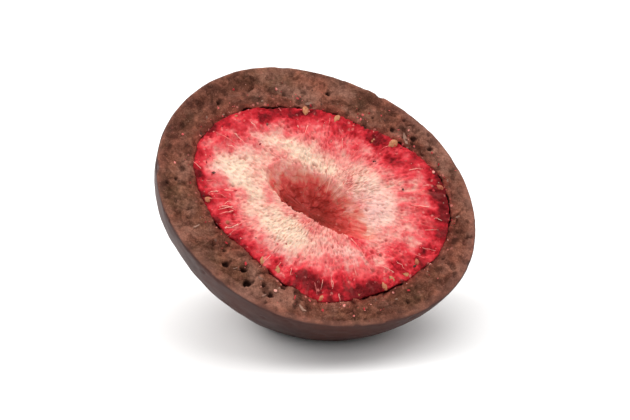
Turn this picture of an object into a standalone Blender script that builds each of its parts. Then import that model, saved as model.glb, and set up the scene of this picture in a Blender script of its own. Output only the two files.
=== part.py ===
"""Half of a freeze-dried strawberry in a thick chocolate coating, cut lengthwise.

Metres, +Z up. The half rests on a small flat spot of its dome, and its cut face
looks up and towards -Y. The origin is on the floor, below the middle of the half.

Both solids are modelled in the frame of the cut face: X along the berry's length
towards its broad stem end, Y across it, Z out of the cut. An empty carries them
from there to the pose in which the half rests.
"""

import math

import bmesh
import bpy
from mathutils import Matrix, Vector

# Waves round an outline are (number of waves, cosine share, sine share).

# Chocolate coating: the outline of its cut face, and the depth of its dome
COATING_HALF_LENGTH = 0.0158
COATING_HALF_WIDTH = 0.0131
COATING_DEPTH = 0.0142
COATING_ROUNDNESS = 1.88  # 2 is an ellipsoid, and less is a little pointed
COATING_WAVES = ((2, 0.002, 0.003), (3, 0.003, 0.007), (5, 0.004, -0.003))
RIM_BEVEL = 0.0003

# The dome swells out where it rests, and it is gently lumpy.
# A lump is (height, waves along X, Y and Z, phase).
SWELL_HEIGHT = 0.0015
SWELL_SPREAD = math.radians(29)
SWELL_TOWARDS = Vector((0.13, -0.16, -1.0)).normalized()
LUMPS = (
    (0.00022, Vector((330, 210, -160)), 0.4),
    (0.00016, Vector((-190, 420, 260)), 1.9),
    (0.00010, Vector((520, -300, 450)), 3.1),
)

# Strawberry inside it: a blunt tip at -X and broad shoulders at +X
BERRY_HALF_LENGTH = 0.0122
BERRY_HALF_WIDTH = 0.0094
BERRY_DEPTH = 0.0106
BERRY_ROUNDNESS = 2.0
BERRY_CENTRE = Vector((0.0007, 0.0, 0.0))
BERRY_WAVES = (
    (1, 0.007, -0.006),
    (2, 0.010, 0.013),
    (3, -0.042, 0.031),
    (4, 0.0, 0.025),
    (6, 0.003, -0.009),
    (10, 0.004, 0.005),
)
CLEARANCE = 0.0003

# Core hollow: a pointed trough, open at the cut
HOLLOW_HALF_LENGTH = 0.0065
HOLLOW_HALF_WIDTH = 0.0024
HOLLOW_DEPTH = 0.0038
HOLLOW_CENTRE = Vector((0.0009, 0.0001, 0.0))
HOLLOW_TURN = math.radians(-12)
HOLLOW_POINTEDNESS = 1.6
LIP_DIP = 0.0003

# How the half rests
FACE_TILT = math.radians(42)
FACE_TURN = math.radians(17)
LENGTH_ROLL = math.radians(-35)
FLAT_SPOT_SINK = 0.00125

SEGMENTS = 64
FLAT_SPOT_STEPS = 3
DOME_STEPS = 16
POCKET_STEPS = 12
RING_FACE_STEPS = 3
BERRY_FACE_STEPS = 4
HOLLOW_STEPS = 6

INWARD = Vector((0, 0, -1))


def clear_scene():
    for obj in list(bpy.data.objects):
        bpy.data.objects.remove(obj, do_unlink=True)


def wavy_ellipse(angle, half_length, half_width, waves):
    """Radius of an ellipse at an angle, pushed in and out by waves round it."""
    across = half_width * math.cos(angle)
    along = half_length * math.sin(angle)
    ellipse = half_length * half_width / math.hypot(across, along)
    push = sum(c * math.cos(n * angle) + s * math.sin(n * angle) for n, c, s in waves)
    return ellipse * (1 + push)


def coating_radius(angle):
    return wavy_ellipse(angle, COATING_HALF_LENGTH, COATING_HALF_WIDTH, COATING_WAVES)


def berry_radius(angle):
    return wavy_ellipse(angle, BERRY_HALF_LENGTH, BERRY_HALF_WIDTH, BERRY_WAVES)


def hollow_radius(angle):
    """Radius of a superellipse of low power, which has pointed ends."""
    power = HOLLOW_POINTEDNESS
    along = abs(math.cos(angle - HOLLOW_TURN) / HOLLOW_HALF_LENGTH) ** power
    across = abs(math.sin(angle - HOLLOW_TURN) / HOLLOW_HALF_WIDTH) ** power
    return (along + across) ** (-1 / power)


def dome_reach(direction, radius_of, depth, roundness):
    """How far a dome under a wavy outline reaches in a direction."""
    radius = radius_of(math.atan2(direction.y, direction.x))
    level = math.hypot(direction.x, direction.y) / radius
    sunk = abs(direction.z) / depth
    return (level**roundness + sunk**roundness) ** (-1 / roundness)


def coating_reach(direction):
    reach = dome_reach(direction, coating_radius, COATING_DEPTH, COATING_ROUNDNESS)
    point = direction * reach
    lumps = sum(h * math.sin(waves.dot(point) + p) for h, waves, p in LUMPS)
    off_swell = direction.angle(SWELL_TOWARDS) / SWELL_SPREAD
    swell = SWELL_HEIGHT * math.exp(-(off_swell**2))
    return reach + swell - lumps * direction.z


def berry_reach(direction):
    return dome_reach(direction, berry_radius, BERRY_DEPTH, BERRY_ROUNDNESS)


def pocket_reach(direction):
    return berry_reach(direction) + CLEARANCE


def angles():
    return [2 * math.pi * i / SEGMENTS for i in range(SEGMENTS)]


def direction_at(angle, share, pole):
    """The direction a share of the way from a dome's pole to its rim at an angle."""
    rim = Vector((math.cos(angle), math.sin(angle), 0))
    return pole.slerp(rim, share)


def dome_rings(reach_of, centre, steps):
    """Rings from just off a dome's deepest point up to its rim in the cut plane."""
    rings = []
    for step in range(1, steps + 1):
        ways = [direction_at(angle, step / steps, INWARD) for angle in angles()]
        rings.append([centre + way * reach_of(way) for way in ways])
    return rings


def between(ring_a, ring_b, share, height=0.0):
    """The ring that lies a share of the way from one ring to another."""
    lift = Vector((0, 0, height))
    return [a.lerp(b, share) + lift for a, b in zip(ring_a, ring_b)]


def lowest_direction(down):
    """The direction in which the dome reaches lowest, from a few hundred."""
    tries = [
        direction_at(angle, step / DOME_STEPS, INWARD)
        for angle in angles()
        for step in range(1, DOME_STEPS)
    ]
    return max(tries, key=lambda way: coating_reach(way) * way.dot(down))


def flat_edge_share(angle, pole, down, floor):
    """The share of the way to the rim at which the dome leaves the floor."""
    on_floor = 0.0
    off_floor = 1.0
    for _ in range(30):
        share = (on_floor + off_floor) / 2
        way = direction_at(angle, share, pole)
        if coating_reach(way) * way.dot(down) > floor:
            on_floor = share
        else:
            off_floor = share
    return on_floor


def flat_spot_middle(down, floor):
    """The direction of the middle of the flat spot."""
    pole = lowest_direction(down)
    edge = Vector((0, 0, 0))
    for angle in angles():
        share = flat_edge_share(angle, pole, down, floor)
        edge += direction_at(angle, share, pole)
    return edge.normalized()


def outside_rings(pole, down, floor):
    """Rings over the flat spot, then from its edge up the dome to the rim."""
    flat = [[] for _ in range(FLAT_SPOT_STEPS)]
    dome = [[] for _ in range(DOME_STEPS)]
    for angle in angles():
        edge = flat_edge_share(angle, pole, down, floor)
        for step, ring in enumerate(flat, 1):
            way = direction_at(angle, edge * step / FLAT_SPOT_STEPS, pole)
            ring.append(way * (floor / way.dot(down)))
        for step, ring in enumerate(dome, 1):
            way = direction_at(angle, edge + (1 - edge) * step / DOME_STEPS, pole)
            ring.append(way * coating_reach(way))
    return flat + dome


def loft(name, first_pole, rings, last_pole):
    """A closed mesh through rings of points, with a pole at each end."""
    bm = bmesh.new()
    rows = [[bm.verts.new(point) for point in ring] for ring in rings]
    for low, high in zip(rows, rows[1:]):
        for i in range(SEGMENTS):
            j = (i + 1) % SEGMENTS
            bm.faces.new((low[i], low[j], high[j], high[i]))
    for pole, row in ((first_pole, rows[0]), (last_pole, rows[-1])):
        tip = bm.verts.new(pole)
        for i in range(SEGMENTS):
            bm.faces.new((tip, row[i], row[(i + 1) % SEGMENTS]))
    bmesh.ops.recalc_face_normals(bm, faces=bm.faces)
    mesh = bpy.data.meshes.new(name)
    bm.to_mesh(mesh)
    bm.free()
    return mesh


def coating_mesh(down, floor):
    """A thick cup: up the outside, over the cut face and down the pocket."""
    pole = flat_spot_middle(down, floor)
    outside = outside_rings(pole, down, floor)
    edge = outside.pop()
    below_edge = [point - Vector((0, 0, RIM_BEVEL)) for point in edge]
    cut_edge = [point - point.normalized() * RIM_BEVEL for point in edge]
    pocket = dome_rings(pocket_reach, BERRY_CENTRE, POCKET_STEPS)
    cut_face = [
        between(cut_edge, pocket[-1], step / RING_FACE_STEPS)
        for step in range(1, RING_FACE_STEPS)
    ]
    rings = outside + [below_edge, cut_edge] + cut_face + pocket[::-1]
    first_pole = pole * (floor / pole.dot(down))
    pocket_pole = BERRY_CENTRE + INWARD * pocket_reach(INWARD)
    return loft("chocolate_coating", first_pole, rings, pocket_pole)


def strawberry_mesh():
    """Up the berry's outside, across the cut face, over the lip, down the hollow."""
    outside = dome_rings(berry_reach, BERRY_CENTRE, POCKET_STEPS)
    lip = [
        HOLLOW_CENTRE + Vector((math.cos(angle), math.sin(angle), 0)) * hollow_radius(angle)
        for angle in angles()
    ]
    cut_face = []
    for step in range(1, BERRY_FACE_STEPS + 1):
        share = step / BERRY_FACE_STEPS
        cut_face.append(between(outside[-1], lip, share, -LIP_DIP * share**3))
    floor = HOLLOW_CENTRE + INWARD * HOLLOW_DEPTH
    hollow = []
    for step in range(1, HOLLOW_STEPS):
        share = step / HOLLOW_STEPS
        wall = between(cut_face[-1], [HOLLOW_CENTRE] * SEGMENTS, share)
        depth = LIP_DIP + (HOLLOW_DEPTH - LIP_DIP) * math.sin(share * math.pi / 2)
        hollow.append([Vector((point.x, point.y, -depth)) for point in wall])
    pole = BERRY_CENTRE + INWARD * berry_reach(INWARD)
    return loft("strawberry", pole, outside + cut_face + hollow, floor)


def resting_rotation():
    turn = Matrix.Rotation(FACE_TURN, 3, "Z")
    tilt = Matrix.Rotation(FACE_TILT, 3, "X")
    roll = Matrix.Rotation(LENGTH_ROLL, 3, "Z")
    return turn @ tilt @ roll


def resting_place(mesh, rotation, floor):
    """Where the cut's centre goes, for an origin on the floor below the middle."""
    points = [rotation @ vertex.co for vertex in mesh.vertices]
    middle_x = (min(p.x for p in points) + max(p.x for p in points)) / 2
    middle_y = (min(p.y for p in points) + max(p.y for p in points)) / 2
    return Vector((-middle_x, -middle_y, floor))


def food_material(name, colour, roughness):
    material = bpy.data.materials.new(name)
    material.use_nodes = True
    shader = material.node_tree.nodes["Principled BSDF"]
    shader.inputs["Base Color"].default_value = (*colour, 1)
    shader.inputs["Roughness"].default_value = roughness
    shader.inputs["Metallic"].default_value = 0
    return material


def add_solid(mesh, material, parent):
    mesh.materials.append(material)
    mesh.shade_smooth()
    mesh.set_sharp_from_angle(angle=math.radians(35))
    solid = bpy.data.objects.new(mesh.name, mesh)
    bpy.context.collection.objects.link(solid)
    solid.parent = parent


def main():
    clear_scene()
    rotation = resting_rotation()
    down = rotation.transposed() @ Vector((0, 0, -1))
    lowest = lowest_direction(down)
    floor = coating_reach(lowest) * lowest.dot(down) - FLAT_SPOT_SINK
    coating = coating_mesh(down, floor)
    strawberry = strawberry_mesh()

    cut_face = bpy.data.objects.new("cut_face_frame", None)
    bpy.context.collection.objects.link(cut_face)
    cut_face.empty_display_size = COATING_HALF_WIDTH
    cut_face.location = resting_place(coating, rotation, floor)
    cut_face.rotation_euler = rotation.to_euler()

    chocolate = food_material("chocolate", (0.075, 0.030, 0.018), 0.38)
    dried_fruit = food_material("dried_strawberry", (0.80, 0.20, 0.18), 0.85)
    add_solid(coating, chocolate, cut_face)
    add_solid(strawberry, dried_fruit, cut_face)


main()
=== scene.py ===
import math

import bpy
import numpy as np
from mathutils import Matrix, Vector, noise
from mathutils.bvhtree import BVHTree


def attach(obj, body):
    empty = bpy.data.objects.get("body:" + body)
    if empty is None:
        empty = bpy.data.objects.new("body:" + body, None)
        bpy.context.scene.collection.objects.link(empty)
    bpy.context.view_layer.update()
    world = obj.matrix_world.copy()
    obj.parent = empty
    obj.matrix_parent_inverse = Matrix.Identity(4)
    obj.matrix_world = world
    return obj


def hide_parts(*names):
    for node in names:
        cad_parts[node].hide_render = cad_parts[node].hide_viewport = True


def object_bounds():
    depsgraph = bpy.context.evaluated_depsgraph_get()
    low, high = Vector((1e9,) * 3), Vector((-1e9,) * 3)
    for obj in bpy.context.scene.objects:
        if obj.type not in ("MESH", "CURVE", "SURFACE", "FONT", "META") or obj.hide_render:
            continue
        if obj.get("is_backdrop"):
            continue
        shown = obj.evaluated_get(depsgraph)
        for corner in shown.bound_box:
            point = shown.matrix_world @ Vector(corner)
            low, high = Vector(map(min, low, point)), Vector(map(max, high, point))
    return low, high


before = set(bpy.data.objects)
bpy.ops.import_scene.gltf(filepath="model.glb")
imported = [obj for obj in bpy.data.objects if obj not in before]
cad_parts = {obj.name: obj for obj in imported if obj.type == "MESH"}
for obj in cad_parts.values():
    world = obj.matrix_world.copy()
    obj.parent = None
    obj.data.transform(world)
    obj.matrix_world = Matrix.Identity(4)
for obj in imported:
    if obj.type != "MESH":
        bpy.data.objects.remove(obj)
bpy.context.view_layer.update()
mm = 0.001
print("frame loaded")


# the cut face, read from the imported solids

def treeOf(obj):
    corners = [v.co.copy() for v in obj.data.vertices]
    return BVHTree.FromPolygons(corners, [tuple(p.vertices) for p in obj.data.polygons])


def cutNormal(mesh):
    # the cut ring is the widest set of faces that look the same way and not down
    normals = np.empty(len(mesh.polygons) * 3)
    areas = np.empty(len(mesh.polygons))
    mesh.polygons.foreach_get("normal", normals)
    mesh.polygons.foreach_get("area", areas)
    normals = normals.reshape(-1, 3)
    upward = normals[:, 2] > 0
    owner = np.unique(np.round(normals[upward], 2), axis=0, return_inverse=True)[1].ravel()
    widest = owner == np.bincount(owner, areas[upward]).argmax()
    return Vector((normals[upward][widest] * areas[upward][widest][:, None]).sum(axis=0)).normalized()


def cutFrame(mesh, tree):
    # origin in the middle of the cut outline, x along its longest way, z out of the cut
    normal = cutNormal(mesh)
    onFace = [p for p in mesh.polygons if p.normal.dot(normal) > 0.9995]
    middle = sum((p.center * p.area for p in onFace), Vector()) / sum(p.area for p in onFace)
    along = (Vector((1, 0, 0)) - normal * normal.x).normalized()
    side = normal.cross(along)
    justBelow = -normal * 0.5 * mm
    for attempt in range(3):
        outline = []
        for turn in np.radians(np.arange(0, 360, 2)):
            way = along * math.cos(turn) + side * math.sin(turn)
            hit = tree.ray_cast(middle + justBelow + way * 0.1, -way)[0] - middle
            outline.append(complex(hit.dot(along), hit.dot(side)))
        edge = np.array(outline)
        ahead = np.roll(edge, -1)
        slices = (edge.conj() * ahead).imag
        shift = ((edge + ahead) / 3 * slices).sum() / slices.sum()
        middle = middle + along * shift.real + side * shift.imag
    turn = np.angle(((edge - shift) ** 2 * slices).sum()) / 2
    xAxis = along * math.cos(turn) + side * math.sin(turn)
    place = Matrix((xAxis, normal.cross(xAxis), normal)).transposed().to_4x4()
    place.translation = middle
    return place


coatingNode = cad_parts["chocolate_coating"]
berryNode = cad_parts["strawberry"]
coatingTree = treeOf(coatingNode)
berryTree = treeOf(berryNode)
cutPlace = cutFrame(coatingNode.data, coatingTree)
cutAxes = np.array(cutPlace.to_3x3())
cutOrigin = np.array(cutPlace.translation)
print("cut face measured")


def toWorld(points):
    # points in the cut's own frame, in mm, to metres in the row frame
    return points * mm @ cutAxes.T + cutOrigin


def reachFrom(tree, centre, ways, fromOutside):
    # how far the solid lies from a point of the cut, in mm, in each direction
    start = Vector(toWorld(np.array(centre, float)))
    reach = []
    for way in ways.reshape(-1, 3) @ cutAxes.T:
        way = Vector(way)
        if fromOutside:
            hit = tree.ray_cast(start + way * 0.1, -way)[0]
        else:
            hit = tree.ray_cast(start, way)[0]
        reach.append((hit - start).length / mm)
    return np.array(reach).reshape(ways.shape[:-1])


def waysDown(angles, shares):
    # directions from straight into the half, share 0, to its rim, share 1
    lean = shares * math.pi / 2
    return np.stack([np.sin(lean) * np.cos(angles), np.sin(lean) * np.sin(angles), -np.cos(lean)], -1)


def smoothRound(values, waves):
    # keeps the slow waves of values that go once round, along the last axis
    bands = np.fft.rfft(values, axis=-1)
    order = np.arange(bands.shape[-1])
    return np.fft.irfft(bands * np.exp(-(order / waves) ** 4), values.shape[-1], axis=-1)


def measureDome(tree, centre, fromOutside):
    # reach on a grid of share by angle, with the solid's facets smoothed out
    rows, columns = 48, 256
    angles = np.arange(columns) * 2 * math.pi / columns
    shares = np.arange(rows) / rows
    grid = reachFrom(tree, centre, waysDown(*np.meshgrid(angles, shares)), fromOutside)
    grid = np.vstack([grid, 2 * grid[-1] - grid[-2]])
    grid = smoothRound(grid, 22)
    for again in range(2):
        grid[1:-1] = (grid[:-2] + 2 * grid[1:-1] + grid[2:]) / 4
    grid[0] = grid[0].mean()
    return grid


def cubicWeights(t):
    return np.stack([
        -0.5 * t + t * t - 0.5 * t ** 3,
        1 - 2.5 * t * t + 1.5 * t ** 3,
        0.5 * t + 2 * t * t - 1.5 * t ** 3,
        -0.5 * t * t + 0.5 * t ** 3,
    ])


def reachAt(grid, angles, shares):
    # smooth reading between the grid's points
    lastRow, columns = grid.shape[0] - 1, grid.shape[1]
    row = np.clip(shares, 0, 1) * lastRow
    column = angles / (2 * math.pi) * columns
    lowRow, lowColumn = np.floor(row).astype(int), np.floor(column).astype(int)
    rowShare, columnShare = cubicWeights(row - lowRow), cubicWeights(column - lowColumn)
    total = 0
    for i in range(4):
        for j in range(4):
            held = grid[np.clip(lowRow + i - 1, 0, lastRow), (lowColumn + j - 1) % columns]
            total = total + rowShare[i] * columnShare[j] * held
    return total


roundAngles = np.arange(256) * 2 * math.pi / 256


def berryCentre():
    # middle of the berry's outline at the cut, in mm
    reach = reachFrom(berryTree, (0, 0, 0), waysDown(roundAngles, np.full(256, 0.98)), True)
    area = (reach ** 2).sum() / 2
    way = np.stack([np.cos(roundAngles), np.sin(roundAngles)])
    return (*((reach ** 3 * way).sum(axis=1) / 3 / area), 0.0)


def faceHeight(x, y):
    # height of the berry's cut side above the cut plane, in mm, straight above a point of it
    start = Vector(toWorld(np.array((x, y, 5.0))))
    down = Vector(-cutAxes[:, 2])
    hit = berryTree.ray_cast(start, down)[0]
    return 5.0 - (hit - start).length / mm if hit else 5.0


def measureHollow():
    # the hollow's deepest point, and how far its lip is from there at each of 256 angles
    spots = [(x, y) for x in np.arange(-8, 8, 0.4) for y in np.arange(-6, 6, 0.4)]
    deepest = min(spots, key=lambda spot: faceHeight(*spot))
    fine = [(deepest[0] + x, deepest[1] + y) for x in np.arange(-0.4, 0.41, 0.1)
            for y in np.arange(-0.4, 0.41, 0.1)]
    deepest = min(fine, key=lambda spot: faceHeight(*spot))
    lip = []
    for turn in roundAngles:
        out = 0.4
        while faceHeight(deepest[0] + out * math.cos(turn), deepest[1] + out * math.sin(turn)) < -0.5:
            out += 0.05
        lip.append(out)
    return np.array(deepest), -faceHeight(*deepest), smoothRound(np.array(lip), 20)



berryMiddle = berryCentre()
domeReach = measureDome(coatingTree, (0, 0, 0), True)
pocketReach = measureDome(coatingTree, berryMiddle, False)
hollowMiddle, hollowDepth, lipReach = measureHollow()
print("shapes measured: berry", np.round(berryMiddle, 2), "hollow", np.round(hollowMiddle, 2), round(hollowDepth, 2))


# meshes from rows of points

def joinRows(rows, lastPole, firstPole):
    # quads between rows of one length, and triangles where a row has twice as many points
    starts = np.cumsum([1] + [len(row) for row in rows])
    faces = []
    for low, high, a, b in zip(rows, rows[1:], starts, starts[1:]):
        n, m = len(low), len(high)
        i = np.arange(min(n, m))
        j = (i + 1) % min(n, m)
        if n == m:
            faces += np.stack([a + i, a + j, b + j, b + i], 1).tolist()
        elif m == 2 * n:
            faces += np.stack([a + i, b + 2 * i + 1, b + 2 * i], 1).tolist()
            faces += np.stack([a + i, a + j, b + 2 * i + 1], 1).tolist()
            faces += np.stack([a + j, b + 2 * j, b + 2 * i + 1], 1).tolist()
        else:
            faces += np.stack([a + 2 * i, a + 2 * i + 1, b + i], 1).tolist()
            faces += np.stack([a + 2 * i + 1, b + j, b + i], 1).tolist()
            faces += np.stack([a + 2 * i + 1, a + 2 * j, b + j], 1).tolist()
    last = starts[-1]
    i = np.arange(len(rows[0]))
    faces += np.stack([0 * i, 1 + (i + 1) % len(i), 1 + i], 1).tolist()
    i = np.arange(len(rows[-1]))
    end = starts[-2]
    faces += np.stack([end + i, end + (i + 1) % len(i), last + 0 * i], 1).tolist()
    return np.vstack([firstPole, *rows, lastPole]), faces


def meshPiece(name, points, faces, slot, **values):
    # values are numbers for each point, kept as attributes that the materials read
    mesh = bpy.data.meshes.new(name)
    mesh.from_pydata(points.tolist(), [], faces)
    for key, held in values.items():
        mesh.attributes.new(key, "FLOAT", "POINT").data.foreach_set("value", held.astype(np.float32))
    mesh.shade_smooth()
    piece = bpy.data.objects.new(name, mesh)
    bpy.context.scene.collection.objects.link(piece)
    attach(piece, "root")
    return piece


def roughness(points, size, offset=0, octaves=1):
    # soft noise from about -1 to 1, with lumps of about that size in mm
    spots = (np.asarray(points) / size + (offset * 7.3, offset * 3.1, offset * 5.7)).tolist()
    return np.array([noise.fractal(spot, 1.0, 2.1, octaves) for spot in spots])


def smoothStep(value, low, high):
    t = np.clip((value - low) / (high - low), 0, 1)
    return t * t * (3 - 2 * t)


def roundNoise(angles, waves, offset, octaves=1):
    # noise that closes on itself round a ring
    ring = np.stack([np.cos(angles) * waves, np.sin(angles) * waves, 0 * angles], -1)
    return roughness(ring, 1.0, offset, octaves)


def patchField(points, patches):
    # sum of soft spots, each (x, y, length, width, turn in degrees, strength) on the cut, in mm
    total = np.zeros(len(points))
    for x, y, length, width, turn, strength in patches:
        lean = math.radians(turn)
        along = (points[:, 0] - x) * math.cos(lean) + (points[:, 1] - y) * math.sin(lean)
        across = (points[:, 1] - y) * math.cos(lean) - (points[:, 0] - x) * math.sin(lean)
        total += strength * np.exp(-(along / length) ** 2 - (across / width) ** 2)
    return total


def warped(points, size, amount, offset):
    # the same points pushed about sideways, so that soft spots get torn edges
    push = np.stack([roughness(points, size, offset, 3), roughness(points, size, offset + 1, 3), 0 * points[:, 0]], 1)
    return points + amount * push


def facets(points, size, offset):
    # small planes that tilt each its own way, as brittle chocolate breaks
    cells = np.array([noise.voronoi(spot)[1][0][:] for spot in (points / size + offset).tolist()])
    tilt = np.sin(cells * (12.9, 78.2, 37.7) + cells[:, [1, 2, 0]] * (39.3, 11.1, 83.1))
    return ((points / size + offset - cells) * tilt).sum(axis=1)


# where the chocolate meets the fruit

seam = {
    "scallop": 0.16,      # mm that the fruit's dimples push the boundary in and out
    "scallopWaves": 5.5,
    "ragged": 0.07,
    "gap": 0.16,          # widest crack between fruit and chocolate
    "overlap": 0.06,
}


def seamReach(angles):
    # the boundary's distance from the berry's middle, in mm
    reach = reachAt(pocketReach, angles, np.ones_like(angles)) - 0.15
    reach = reach + seam["scallop"] * roundNoise(angles, seam["scallopWaves"], 3)
    return reach + seam["ragged"] * roundNoise(angles, 24, 5, 2)


def seamGap(angles):
    # cracks here and there, and fruit grown into the chocolate elsewhere
    return seam["gap"] * smoothStep(roundNoise(angles, 4.5, 11, 2), 0.15, 0.5)


# chocolate coating: dome, rim, cut ring and the pocket that holds the fruit

shell = {
    "around": 400,
    "domeRows": 96,
    "ringRows": 44,
    "pocketRows": 10,
    "rimRound": 0.24,       # mm
    "rimUneven": 0.12,
    "chips": 12,
    "chipDepth": 0.30,
    "burr": 0.07,
    "dimples": 0.055,
    "pits": 90,
    "touches": 12,          # flat matte spots where it lay against other pieces
    "touchDepth": 0.06,
    "dragTurn": 24,         # degrees of the knife's strokes from the long way
    "drag": 0.03,
    "crumble": 0.12,
    "facet": 0.26,
    "wave": 0.14,
    "cavities": 22,
    # (x, y, length, width, turn in degrees, strength) of paler and darker places of the cut
    "tones": (
        (-5.4, 9.2, 2.4, 0.5, 8, 0.7), (9.3, 10.2, 2.6, 1.2, -40, 0.35), (-12.6, -4.6, 1.0, 5.0, 20, 0.35),
        (-9.2, -8.5, 1.0, 0.8, 0, 0.45), (3.5, -12.1, 2.4, 0.6, -4, 0.45), (4.4, 9.9, 1.1, 0.6, -20, 0.5),
        (11.8, 7.6, 1.2, 1.0, 0, 0.25), (-9.4, 9.4, 2.0, 0.8, 35, 0.20), (-13.0, 3.0, 1.2, 2.0, 0, 0.15),
        (-4.9, -10.9, 1.6, 0.8, -18, -0.40), (6.4, 9.3, 1.0, 0.7, -30, -0.5), (-12.3, 2.0, 0.7, 1.8, 10, -0.35),
        (9.0, -9.0, 3.2, 0.9, 25, -0.10), (13.6, 1.5, 0.8, 2.6, 0, -0.2), (1.5, 11.4, 2.0, 0.7, -8, -0.15),
        (-7.4, 8.5, 2.6, 0.7, 32, 0.55), (6.0, 10.8, 2.4, 1.0, -25, 0.45), (-13.5, 0.2, 1.1, 2.4, 0, -0.60),
        (-0.6, 11.6, 2.0, 0.7, 0, 0.25), (-11.0, 6.4, 1.8, 1.0, 55, -0.50), (0.2, -12.1, 1.5, 0.7, 0, 0.40),
        (12.0, -6.6, 1.2, 2.2, -25, -0.30), (14.2, 3.6, 0.9, 2.0, 10, 0.20),
        (-9.9, -7.0, 1.0, 0.6, -35, 0.55), (-1.9, -11.2, 1.1, 1.4, 0, 0.55), (0.9, -10.9, 1.3, 0.8, 0, 0.35),
        (-0.6, 9.9, 2.4, 0.35, -5, 0.4), (6.9, 8.3, 1.6, 0.35, -38, 0.4), (-12.6, 6.2, 1.8, 0.7, 55, -0.45),
        (-9.6, 10.4, 2.2, 0.6, 32, -0.25), (6.4, -11.2, 2.6, 0.5, 12, -0.30), (12.3, -3.4, 0.6, 2.2, -20, -0.25),
    ),
}


def fewBumps(angles, count, width, draw):
    # rounded bumps of uneven size at random places round a ring
    total = np.zeros_like(angles)
    for place, size, reach in zip(draw.uniform(0, 2 * math.pi, count),
                                  draw.uniform(0.25, 1, count), draw.uniform(0.5, 1.6, count)):
        off = np.angle(np.exp(1j * (angles - place))) / (width * reach)
        total = np.maximum(total, size * np.clip(1 - off * off, 0, 1))
    return total


def rimRounding(angles):
    even = shell["rimRound"] + shell["rimUneven"] * roundNoise(angles, 9, 21, 2)
    chips = fewBumps(angles, shell["chips"], 0.042, np.random.default_rng(12))
    return np.maximum(even, 0.08) + shell["chipDepth"] * chips


def pitField(points, pits):
    # how deep each point lies in any of the round-bottomed pits (x, y, z, radius, depth)
    total = np.zeros(len(points))
    for pit in pits:
        near = np.flatnonzero((np.abs(points - pit[:3]) < pit[3] * 1.2).all(axis=1))
        if len(near):
            off = np.linalg.norm(points[near] - pit[:3], axis=1) / pit[3]
            total[near] = np.maximum(total[near], pit[4] * smoothStep(1.15 - off, 0, 0.8))
    return total


def domeDetail(points):
    # the polished outside: faint dimples, low bumps and a few small pits
    detail = shell["dimples"] * (roughness(points, 1.7, 31, 2) + 1.4 * roughness(points, 4.2, 32))
    draw = np.random.default_rng(8)
    chosen = points[draw.integers(0, len(points), shell["pits"])]
    radius = draw.uniform(0.22, 0.5, shell["pits"])
    pits = np.column_stack([chosen, radius, radius * draw.uniform(0.12, 0.3, shell["pits"])])
    sunk = pitField(points, pits)
    chosen = points[draw.integers(0, len(points), shell["touches"])]
    flat = np.column_stack([chosen, draw.uniform(1.0, 2.2, shell["touches"]), np.ones(shell["touches"])])
    torn = points + 0.25 * roughness(points, 0.9, 33, 2)[:, None]
    touched = pitField(torn, flat)
    return detail * (1 - 0.5 * touched) - sunk - shell["touchDepth"] * touched, sunk, touched


def ringCavities():
    # bubbles and torn holes in the cut ring: a close group on one side, and others scattered
    draw = np.random.default_rng(14)
    placed = []
    for turn, across, radius, depth in (
        (243, 0.42, 0.42, 0.50), (250, 0.58, 0.34, 0.42), (256, 0.40, 0.46, 0.55),
        (262, 0.62, 0.30, 0.36), (268, 0.48, 0.36, 0.45), (236, 0.66, 0.26, 0.30),
        (60, 0.60, 0.40, 0.45), (52, 0.45, 0.30, 0.35), (71, 0.72, 0.30, 0.34), (158, 0.55, 0.24, 0.25),
    ):
        placed.append((math.radians(turn), across, radius, depth))
    for extra in range(shell["cavities"]):
        radius = draw.uniform(0.12, 0.27)
        placed.append((draw.uniform(0, 2 * math.pi), draw.uniform(0.15, 0.9), radius, radius * 1.1))
    turns, across, radius, depth = np.array(placed).T
    rim = reachAt(domeReach, turns, np.ones_like(turns))
    seamAt = seamReach(turns)
    x = (1 - across) * rim * np.cos(turns) + across * (berryMiddle[0] + seamAt * np.cos(turns))
    y = (1 - across) * rim * np.sin(turns) + across * (berryMiddle[1] + seamAt * np.sin(turns))
    return np.column_stack([x, y, 0 * x, radius, depth])


def layerLine(angles, across):
    # the coating was built up in layers: a faint step along the rim, and part of a second one
    shown = smoothStep(roundNoise(angles, 1.8, 41), -0.25, 0.2)
    first = 0.24 + 0.06 * roundNoise(angles, 2.2, 42)
    second = 0.55 + 0.09 * roundNoise(angles, 2.5, 43)
    step = 1 - smoothStep(across, first - 0.04, first + 0.04)
    line = np.exp(-((across - second) / 0.05) ** 2)
    return shown * step + 0.4 * (1 - shown) * line


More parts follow.
